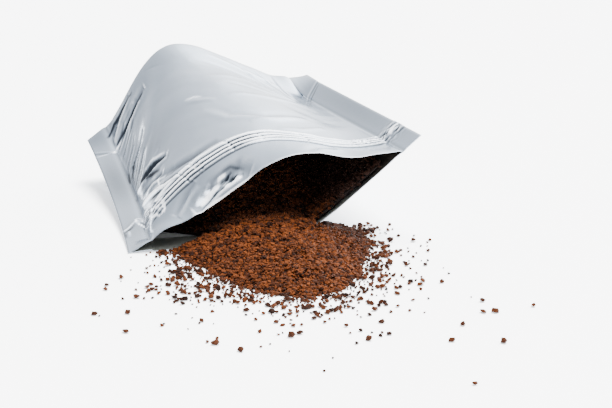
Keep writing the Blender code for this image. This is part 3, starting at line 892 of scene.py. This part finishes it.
def gusset():
    """A bowl of film between the two flanges, pushed in along its old fold and a little crumpled."""
    row = np.searchsorted(rows[:, 0], 1 - FLANGE / PANEL_LENGTH)
    span = slice(COLUMNS_SEAL, COLUMNS_SEAL + COLUMNS_PANEL + 1)
    top, bottom = upper_inner[row, span] - [0, 0, FILM], lower_inner[row, span] + [0, 0, FILM]
    share = np.linspace(0, 1, GUSSET_ROWS)[:, None]
    room = smooth((top[:, 2] - bottom[:, 2]) / GUSSET_OPEN)
    fold = (1 - np.abs(2 * share - 1)) ** 0.7
    across, up = np.linspace(0, PANEL_ARC / MM, len(top))[None, :], share * GUSSET_ARC
    crumple = waves(across, up, GUSSET_WAVES) + waves(across, up, GUSSET_FACETS, folded=True)
    deep = -GUSSET_RECESS * fold * room + crumple * MM * room * np.sin(np.pi * share)
    outer = mix(bottom, top, share[..., None])
    inner = outer.copy()
    outer[..., 1] += deep
    inner[..., 1] += deep - FILM
    return grid_mesh("bottom_gusset", outer, inner, [foil, liner])


bottom_gusset = gusset()

# %% The two halves of the zip
ZIP_MARGIN = 0.4 * MM
ZIP_SUNK = 0.2 * MM
TAPE_TALL, RIB_TALL, RIB_HALF = 0.45 * MM, 1.2 * MM, 0.55 * MM
# Across a rib: the share of its half width, and how tall it is there.
RIB_SHAPE = ((-1, TAPE_TALL), (-0.9, RIB_TALL), (0.9, RIB_TALL), (1, TAPE_TALL))
ZIP_END_COLUMNS = 8


def zip_half(name, panel_points, normals, ribs):
    """A zip tape with its ribs, on the inner face of a panel, built on the panel's own rows of points."""
    half = ZIP_WIDTH / 2 - ZIP_MARGIN
    shape = [(middle + side * RIB_HALF, tall) for middle in ribs for side, tall in RIB_SHAPE]
    span = slice(COLUMNS_SEAL + ZIP_END_COLUMNS, COLUMNS_SEAL + COLUMNS_PANEL - ZIP_END_COLUMNS)
    places_along = rows[:, 0] * PANEL_LENGTH
    near, far = [], []
    for along, tall in [(-half, TAPE_TALL), *shape, (half, TAPE_TALL)]:
        at = np.interp(ZIP_AT + along, places_along, np.arange(len(places_along)))
        low = int(at)
        base = mix(panel_points[low, span], panel_points[low + 1, span], at - low)
        facing = unit(mix(normals[low, span], normals[low + 1, span], at - low))
        near.append(base - facing * ZIP_SUNK)
        far.append(base - facing * (tall + ZIP_SUNK))
    return grid_mesh(name, np.array(near), np.array(far), [zip_plastic])


zip_rib = zip_half("zip_rib_strip", upper_inner, upper_normals, [0.0])
zip_channel = zip_half("zip_channel_strip", lower_inner, -lower_normals, [-1.3 * MM, 1.3 * MM])

# %% [markdown]
# The coffee is agglomerated: little porous lumps of two to three millimetres, with some dust. A core gives
# the heap its body, in a very dark brown that is painted shade for the gaps between the lumps. Geometry Nodes
# then scatter lumps of a few different shapes over it, thick on the heap and thinning out over the floor,
# each with its own turn, size and shade of brown, darker with painted shade where the pouch keeps the light
# off.

# %% The surface of the coffee
COFFEE_GAP = 1.3 * MM
COFFEE_SIDES = (0.03, 0.92)
# How far behind the mouth the coffee begins: share of the way across, and mm.
FRONT_EDGE = np.array([(0.02, 31), (0.22, 14), (0.29, -4.6), (0.60, -4.6), (0.66, 1.5), (0.9, 2)])
BACK_GAP, UNDER_PANEL = 3 * MM, 2.4 * MM
SLOPE = 0.50
FILL_LEVEL, LEVEL_BEND = 50 * MM, 12 * MM
BANK_LAYER, BANK_BEND = 2.2 * MM, 4 * MM
LEAST_COFFEE, FAN_EDGE = 0.6 * MM, 0.3 * MM
FAN_MIDDLE = np.array([-17, 4]) * MM
FAN_SIDE, FAN_FRONT = 48 * MM, 82 * MM
FAN_POINTS_TO, FAN_POINT_WIDTH = math.radians(265), math.radians(30)
FAN_RAGGED, FAN_FRINGE = 2.2 * MM, 1.8 * MM
FAN_TALL, FAN_POWER = 13 * MM, 1.6
LUMPS = [(0.9, 5.5, 41), (0.5, 2.6, 42)]


def fan_reach(angle):
    """How far the heap reaches from its middle in one direction."""
    off = (angle - FAN_POINTS_TO) / FAN_POINT_WIDTH
    ragged = FAN_RAGGED * noise.noise(Vector((math.cos(angle), math.sin(angle), 0)) * 6)
    fringe = FAN_FRINGE * noise.noise(Vector((math.cos(angle), math.sin(angle), 3)) * 22)
    return FAN_SIDE + (FAN_FRONT - FAN_SIDE) * math.exp(-off * off) + ragged + fringe


ANGLES = np.linspace(math.radians(90), math.radians(450), 721)
REACHES = np.array([fan_reach(angle) for angle in ANGLES])


def polar(x, y):
    """Distance from the fan's middle, the fan's reach in that direction, and the direction."""
    dx, dy = x - FAN_MIDDLE[0], y - FAN_MIDDLE[1]
    angle = np.arctan2(dy, dx) % math.tau
    angle = np.where(angle < math.pi / 2, angle + math.tau, angle)
    return np.hypot(dx, dy), np.interp(angle, ANGLES, REACHES), angle


def around(angle, radius):
    """The place in a direction from the fan's middle."""
    return FAN_MIDDLE[0] + radius * np.cos(angle), FAN_MIDDLE[1] + radius * np.sin(angle)


def fan_height(x, y):
    radius, reach, _ = polar(x, y)
    return FAN_TALL * (1 - (radius / reach) ** FAN_POWER)


def lumps(x, y):
    """The uneven surface of the coffee, which the largest granules make."""
    return waves(x / MM, y / MM, LUMPS) * MM


def coffee_inside(columns=90, steps=90):
    """Top and underside of the coffee in the pouch, as grids."""
    s, k = np.meshgrid(np.linspace(*COFFEE_SIDES, columns), np.linspace(0, 1, steps))
    first = np.interp(s, FRONT_EDGE[:, 0], FRONT_EDGE[:, 1]) * MM / PANEL_LENGTH
    t = mix(first, 1 - (FLANGE + GUSSET_RECESS + BACK_GAP) / PANEL_LENGTH, k ** 1.4)
    floor = lower(s, t)
    floor = floor + normals_of(floor) * COFFEE_GAP
    x, y, bed = floor[..., 0], floor[..., 1], floor[..., 2]
    slope = SLOPE * (t - np.clip(first, 0, None)) * PANEL_LENGTH
    slope = FILL_LEVEL - soft_max(FILL_LEVEL - slope, 0, LEVEL_BEND)
    height = np.maximum(soft_max(fan_height(x, y), slope, BANK_BEND), bed + BANK_LAYER)
    height = np.minimum(height + lumps(x, y), upper(s, t)[..., 2] - UNDER_PANEL)
    top = floor.copy()
    top[..., 2] = np.maximum(height, bed + LEAST_COFFEE)
    return top, floor


def coffee_fan(first=176, last=356, start=0.5 * MM, steps=110, rings=50):
    """Top and underside of the heap on the floor, as grids."""
    angle, k = np.meshgrid(np.radians(np.linspace(first, last, steps)), np.linspace(0, 1, rings))
    x, y = around(angle, mix(start, np.interp(angle, ANGLES, REACHES), k))
    height = np.clip(fan_height(x, y), 0, None) + FAN_EDGE + lumps(x, y) * (1 - k ** 3)
    top = np.stack([x, y, np.maximum(height, FAN_EDGE)], -1)
    return top, np.stack([x, y, np.full(x.shape, OFF_THE_FLOOR)], -1)


print("the heap reaches", REACHES.min() / MM, "to", REACHES.max() / MM, "mm from its middle")

# %% Materials of the coffee
def coffee_material(name, dark, light, bumpiness):
    material, tree, shader = new_material(name)
    # The shade attribute holds each granule's random shade of brown, and for scattered ones the painted shade
    # of their bed.
    shade = tree.attribute("shade")
    pores = noise_at(tree, 1500, 2, 0.6)
    mask = 0.75 * shade + 0.35 * pores
    ramp = tree.make("ShaderNodeValToRGB", {0: mask}, stops=[(0.2, dark), (0.95, light)])
    bump = tree.bump(bumpiness, 0.5 * MM, pores)
    set_sockets(tree, shader, Base_Color=ramp, Roughness=0.62 + 0.2 * pores, Normal=bump,
                Specular_IOR_Level=0.14)
    return material


coffee_brown = coffee_material("coffee_granules", (0.009, 0.0022, 0.0005), (0.09, 0.0215, 0.003), 1.0)
# The core's colour is coffee brown darkened far below the granules', painted shade for the gaps between them.
core_shade_brown = coffee_material("coffee_core", (0.003, 0.0008, 0.0002), (0.01, 0.0025, 0.0005), 0.5)
print("materials", coffee_brown.name, core_shade_brown.name)

# %% The core of the heap
# The heap on the floor is a fan, with a small wedge at its right end.
core_parts = [grid_mesh("core_inside", *coffee_inside(), [core_shade_brown]),
              grid_mesh("core_fan", *coffee_fan(), [core_shade_brown]),
              grid_mesh("core_wedge", *coffee_fan(350, 372, 29 * MM, 24, 20), [core_shade_brown])]
CORE_SINKS, CORE_LEAST = 1.0 * MM, 0.15 * MM


def sink(mesh):
    """Lowers the top of a core piece, so that the granules and not the core make the surface."""
    half = len(mesh.vertices) // 2
    for vertex in mesh.vertices[:half]:
        vertex.co.z = max(vertex.co.z - CORE_SINKS, mesh.vertices[vertex.index + half].co.z + CORE_LEAST)


def join(name, parts):
    """One piece made of several, which are removed."""
    joined = bmesh.new()
    for part in parts:
        joined.from_mesh(part.data)
    joined.to_mesh(parts[0].data)
    joined.free()
    parts[0].name = name
    for part in parts[1:]:
        bpy.data.objects.remove(part)
    return parts[0]


beds = []
for part in core_parts:
    beds.append(add_object(part.name.replace("core", "bed"), part.data.copy()))
    sink(part.data)
core = join("coffee_core", core_parts)
print(core.name, "has", len(core.data.polygons), "faces")


# %% Shapes of single granules
GOLDEN_ANGLE = 2.399963


def granule_shape(number, corners=12):
    """A lump of about twenty flat faces, one unit in radius, with its middle at the origin."""
    draw = random.Random(number)
    work = bmesh.new()
    stretch = np.array((draw.uniform(0.95, 1.3), draw.uniform(0.8, 1.0), draw.uniform(0.6, 0.85)))
    for k in range(corners):
        height = 1 - 2 * (k + 0.5) / corners
        turn = k * GOLDEN_ANGLE + draw.uniform(-0.4, 0.4)
        ring = math.sqrt(1 - height * height)
        point = np.array((ring * math.cos(turn), ring * math.sin(turn), height))
        work.verts.new(point * stretch * draw.uniform(0.65, 1.2))
    bmesh.ops.convex_hull(work, input=work.verts)
    loose = [v for v in work.verts if not v.link_faces]
    bmesh.ops.delete(work, geom=loose, context="VERTS")
    mesh = bpy.data.meshes.new(f"granule_shape_{number}")
    work.to_mesh(mesh)
    work.free()
    return bpy.data.objects.new(mesh.name, mesh)


shapes = bpy.data.collections.new("granule_shapes")
for number in range(8):
    shapes.objects.link(granule_shape(number))


# %% The scattering tree
# Its inputs: name, type of socket and value to begin with.
SCATTER_INPUTS = [
    ("Geometry", "Geometry", None),
    ("Shapes", "Collection", None),
    ("Per square metre", "Float", 1e5),
    ("Smallest", "Float", 0.4 * MM),
    ("Largest", "Float", 1.4 * MM),
    ("Lift", "Float", 0.0),
    ("Apart", "Float", 0.0),
    ("Lightest", "Float", 1.0),
    ("Seed", "Int", 1),
    ("Material", "Material", None),
]
SIZE_POWER = 1.6
TILT = 0.5


def scatter_tree():
    """Geometry Nodes: scatter granules over a bed, as thickly and as light as its attributes say."""
    group = bpy.data.node_groups.new("scatter_granules", "GeometryNodeTree")
    face = group.interface
    for name, kind, value in SCATTER_INPUTS:
        socket = face.new_socket(name, in_out="INPUT", socket_type="NodeSocket" + kind)
        if value is not None:
            socket.default_value = value
    face.new_socket("Geometry", in_out="OUTPUT", socket_type="NodeSocketGeometry")
    tree = Tree(group)
    given = tree.make("NodeGroupInput")
    want = given.out

    def stored(name):
        return tree.make("GeometryNodeInputNamedAttribute", {"Name": name}, data_type="FLOAT")

    def random_value(seed, kind="FLOAT", limits=()):
        return tree.make("FunctionNodeRandomValue", {**dict(enumerate(limits)), "Seed": seed}, data_type=kind)

    thick, light = stored("thickness"), stored("light")
    points = tree.make("GeometryNodeDistributePointsOnFaces",
                       {"Mesh": given, "Distance Min": want("Apart"), "Density Max": want("Per square metre"),
                        "Density Factor": thick, "Seed": want("Seed")}, distribute_method="POISSON")
    choice = tree.make("GeometryNodeCollectionInfo",
                       {"Collection": want("Shapes"), "Separate Children": True, "Reset Children": True},
                       transform_space="ORIGINAL")
    size = want("Smallest") + (want("Largest") - want("Smallest")) * random_value(7) ** SIZE_POWER
    turn = random_value(8, "FLOAT_VECTOR", [(-TILT, -TILT, 0), (TILT, TILT, math.tau)])
    turn = tree.make("FunctionNodeEulerToRotation", {0: turn})
    offset = tree.make("ShaderNodeCombineXYZ", {2: size * want("Lift")})
    moved = tree.make("GeometryNodeSetPosition", {"Geometry": points, "Offset": offset})
    spread = tree.make("GeometryNodeInstanceOnPoints",
                       {"Points": moved, "Instance": choice, "Pick Instance": True,
                        "Rotation": turn, "Scale": size})
    # Each granule's random shade of brown, darkened by the painted shade that its bed stores as light.
    shade = random_value(9) * want("Lightest") * light
    shaded = tree.make("GeometryNodeStoreNamedAttribute",
                       {"Geometry": spread, "Name": "shade", "Value": shade},
                       data_type="FLOAT", domain="INSTANCE")
    real = tree.make("GeometryNodeRealizeInstances", {"Geometry": shaded})
    painted = tree.make("GeometryNodeSetMaterial", {"Geometry": real, "Material": want("Material")})
    tree.make("NodeGroupOutput", {"Geometry": painted})
    return group


SCATTER = scatter_tree()


def scatter(name, bed, **inputs):
    """Runs the tree on a bed and keeps the result as a plain mesh. Corners that dip below the floor are
    raised to it."""
    modifier = bed.modifiers.new("scatter", "NODES")
    modifier.node_group = SCATTER
    sockets = {item.name: item.identifier for item in SCATTER.interface.items_tree if item.in_out == "INPUT"}
    for key, value in inputs.items():
        modifier[sockets[key.replace("_", " ")]] = value
    seen = bed.evaluated_get(bpy.context.evaluated_depsgraph_get())
    mesh = bpy.data.meshes.new_from_object(seen)
    mesh.name = name
    for vertex in mesh.vertices:
        vertex.co.z = max(vertex.co.z, 0)
    bpy.data.objects.remove(bed)
    print(name, len(mesh.polygons), "faces")
    return add_object(name, mesh)


print(SCATTER.name, "has", len(SCATTER.nodes), "nodes")


# %% Granules on the heap and on the floor
# How much painted shade darkens the coffee by the left wall, by the right wall and deeper in, and its least
# light.
LEFT_SHADE, RIGHT_SHADE, DEEP_SHADE, DARKEST = 0.7, 0.9, 0.35, 0.05
FAN_SHADE = 0.3
# The share of the granules that is left out at the back.
HIDDEN_COFFEE = 0.93
# Loose granules lie within a few mm of the heap, and further out on three sides: the direction and its
# spread in degrees, and how much further in mm.
STRAY_REACH = 4.5
STRAY_SIDES = [(262, 48, 5.5), (224, 22, 5), (312, 24, 3)]
STRAYS = 3.6
FAR_STRAYS, FAR_REACH = 0.16, 24
# A sparse patch of them lies far to the left.
LEFT_STRAYS = 0.08
STRAY_RING = 100 * MM
CLUMPS = [(0.6, 7, 61)]


def weigh(bed, rule, name="thickness"):
    """Stores how thickly granules lie on each point of a bed, or how light they are, from 0 to 1."""
    count = len(bed.data.vertices)
    points = np.empty(count * 3)
    bed.data.vertices.foreach_get("co", points)
    values = np.clip(rule(*((points.reshape(-1, 3) + ORIGIN) / MM).T), 0, 1)
    if name == "thickness":
        values[count // 2:] = 0
    store(bed.data, name, values)


def inside_rule(x, y, z):
    """Thick where the mouth shows the coffee, and thin at the back, where nothing sees it."""
    return 1 - HIDDEN_COFFEE * rise(y, 62, 20)


def inside_light(x, y, z):
    """Darker where the panels keep the coffee out of the light."""
    side = 1 - LEFT_SHADE * rise(x, -42, -14) - RIGHT_SHADE * rise(x, 4, 16) * rise(z, 9, 12)
    return np.clip(side, DARKEST, 1) * (1 - DEEP_SHADE * rise(y, 6, 14))


def fan_light(x, y, z):
    """A little darker to the right, which the pouch shades."""
    return 1 - FAN_SHADE * rise(x, 2, 18)


def everywhere(x, y, z):
    return np.ones(len(x))


def floor_bed(steps=160, rings=60, first=172, last=400):
    """A flat ring of floor round the fan, for the granules that rolled away."""
    angle, k = np.meshgrid(np.radians(np.linspace(first, last, steps)), np.linspace(0, 1, rings))
    x, y = around(angle, np.interp(angle, ANGLES, REACHES) - 1 * MM + STRAY_RING * k ** 1.5)
    top = np.stack([x, y, np.full(x.shape, 2 * OFF_THE_FLOOR)], -1)
    return grid_mesh("bed_floor", top, top - [0, 0, OFF_THE_FLOOR], [core_shade_brown])


def floor_rule(x, y, z):
    """Falls off quickly beyond the fan's outline, and reaches furthest to the front left and right."""
    radius, reach, angle = polar(x * MM, y * MM)
    beyond, degrees = (radius - reach) / MM, np.degrees(angle)
    outside = np.clip(beyond, 0, None)
    fade = STRAY_REACH + sum(further * bell(degrees, *side) for *side, further in STRAY_SIDES)
    near = STRAYS * np.exp(-outside / fade) * (0.65 + waves(x, y, CLUMPS))
    far = FAR_STRAYS * bell(degrees, *STRAY_SIDES[0][:2]) * np.exp(-outside / FAR_REACH)
    left = LEFT_STRAYS * bell(degrees, 218, 20) * bell(beyond, 28, 22)
    under_pouch = (y > 8) & (x < 20)
    return np.where(under_pouch | (degrees > 378), 0, near + far + left)


def layer(name, bed, thickness, light, seed, many, smallest, largest, **more):
    """A layer of granules over a bed: how many on a square metre at most, and their radii in mm."""
    weigh(bed, thickness)
    weigh(bed, light, "light")
    return scatter(name, bed, Shapes=shapes, Material=coffee_brown, Seed=seed, Per_square_metre=many,
                   Smallest=smallest * MM, Largest=largest * MM, **more)


grains = [
    layer("granules_inside", beds[0], inside_rule, inside_light, 1, 5.0e5, 0.5, 1.6),
    layer("granules_fan", beds[1], everywhere, fan_light, 2, 1.0e6, 0.4, 1.55),
    layer("granules_wedge", beds[2], everywhere, fan_light, 3, 1.15e6, 0.4, 1.4),
    layer("granules_floor", floor_bed(), floor_rule, everywhere, 4, 6.5e5, 0.5, 1.7,
          Lift=0.5, Lightest=0.65, Apart=1.6 * MM),
]


# %% The largest loose granules, in their own places
LONE_SHADES = [0.25 + 0.05 * step for step in range(7)]


def lone_granule(node, number):
    """A granule that stands for one of the part's own loose granules, in the same box."""
    low, high = (np.array(corner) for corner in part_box(node))
    mesh = shapes.objects[number % len(shapes.objects)].data.copy()
    points = np.array([vertex.co for vertex in mesh.vertices])
    share = (points - points.min(axis=0)) / (points.max(axis=0) - points.min(axis=0))
    for vertex, point in zip(mesh.vertices, low + share * (high - low)):
        vertex.co = point
    store(mesh, "shade", [LONE_SHADES[number % len(LONE_SHADES)]] * len(mesh.vertices))
    mesh.materials.append(coffee_brown)
    return add_object("loose_" + node, mesh)


loose_nodes = sorted(name for name in frame["nodes"] if name.startswith("granule"))
lone = {node: lone_granule(node, number) for number, node in enumerate(loose_nodes)}
print(len(lone), "loose granules")
for shape in list(shapes.objects):
    bpy.data.objects.remove(shape)
bpy.data.collections.remove(shapes)


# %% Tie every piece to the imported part
def join_to(piece, node):
    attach(piece, "root")
    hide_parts(node)


for piece in (upper_panel, lower_panel, bottom_gusset):
    join_to(piece, "pouch")
join_to(zip_rib, "zip_rib")
join_to(zip_channel, "zip_channel")
for piece in (core, *grains):
    join_to(piece, "coffee")
for node, piece in lone.items():
    join_to(piece, node)
print("every piece is tied to its node")


# %% [markdown]
# The studio is a white sweep under a wide soft light from above, which no mirror image shows. The foil
# mirrors the world instead: a bright room behind the pouch, brightest to the right, a dim one in front of
# it, and a lamp box overhead.

# %% Floor, light and camera
CAMERA_AZIMUTH, CAMERA_ELEVATION = math.radians(-18), math.radians(16)
CAMERA_DISTANCE = 0.9
CAMERA_TARGET = Vector((0, 0, 0.02)) - Vector(ORIGIN)
CAMERA_LENS, CAMERA_SENSOR = 108.75, 36
# The brightness of the room, from its darkest place at 0 to the lamp box at 1.
ROOM_TONES = [
    (0, (0.66, 0.68, 0.73)),
    (0.33, (1.45, 1.49, 1.56)),
    (0.67, (3.0, 3.04, 3.1)),
    (1, (8.5, 8.55, 8.6)),
]


def floor():
    mesh = bpy.data.meshes.new("studio_floor")
    mesh.from_pydata([(-3, -3, 0), (3, -3, 0), (3, 5, 0), (-3, 5, 0)], [], [(0, 1, 2, 3)])
    material, tree, shader = new_material("studio_white")
    set_sockets(tree, shader, Base_Color=(0.9, 0.9, 0.9, 1), Roughness=0.7,
                Emission_Color=(1, 1, 1, 1), Emission_Strength=0.6)
    mesh.materials.append(material)
    add_object("studio_floor", mesh)


def soft_light(name, direction, spread, power):
    """Even light over the whole sweep, from a round patch of the ceiling."""
    light = bpy.data.lights.new(name, "SUN")
    light.angle, light.energy = math.radians(spread), power
    lamp = add_object(name, light)
    lamp.visible_glossy = False
    lamp.rotation_euler = (-Vector(direction)).to_track_quat("-Z", "Y").to_euler()


def studio_world():
    world = bpy.data.worlds.new("studio")
    bpy.context.scene.world = world
    world.use_nodes = True
    tree = Tree(world.node_tree)
    direction = tree.make("ShaderNodeTexCoord").out("Generated")
    parts = tree.make("ShaderNodeSeparateXYZ", {0: direction})
    right, back, up = parts.out("X"), parts.out("Y"), parts.out("Z")
    # Each is a share of the way along the tones of the room.
    behind = 0.4 + 0.62 * right + 0.2 * up + 0.28 * right * right
    ahead = 0.24 - 0.1 * up
    toward_box = 0.25 * right - 0.38 * back + 0.89 * up
    box = tree.clamped((toward_box - 0.92) / 0.03)
    level = ahead + (behind - ahead) * tree.clamped(0.5 + 2 * back) + 0.85 * box
    shade = tree.make("ShaderNodeValToRGB", {0: level}, stops=ROOM_TONES)
    set_sockets(tree, world.node_tree.nodes["Background"], Color=shade, Strength=1.0)


def camera():
    lens = bpy.data.cameras.new("camera")
    lens.lens, lens.sensor_width = CAMERA_LENS, CAMERA_SENSOR
    level = math.cos(CAMERA_ELEVATION)
    away = Vector((math.sin(CAMERA_AZIMUTH) * level, -math.cos(CAMERA_AZIMUTH) * level,
                   math.sin(CAMERA_ELEVATION)))
    piece = add_object("camera", lens)
    piece.location = CAMERA_TARGET + away * CAMERA_DISTANCE
    piece.rotation_euler = (-away).to_track_quat("-Z", "Y").to_euler()
    bpy.context.scene.camera = piece


floor()
soft_light("overhead", (0.38, 0.32, 1), 34, 19)
studio_world()
camera()
print("the camera stands", CAMERA_DISTANCE, "m from its target")
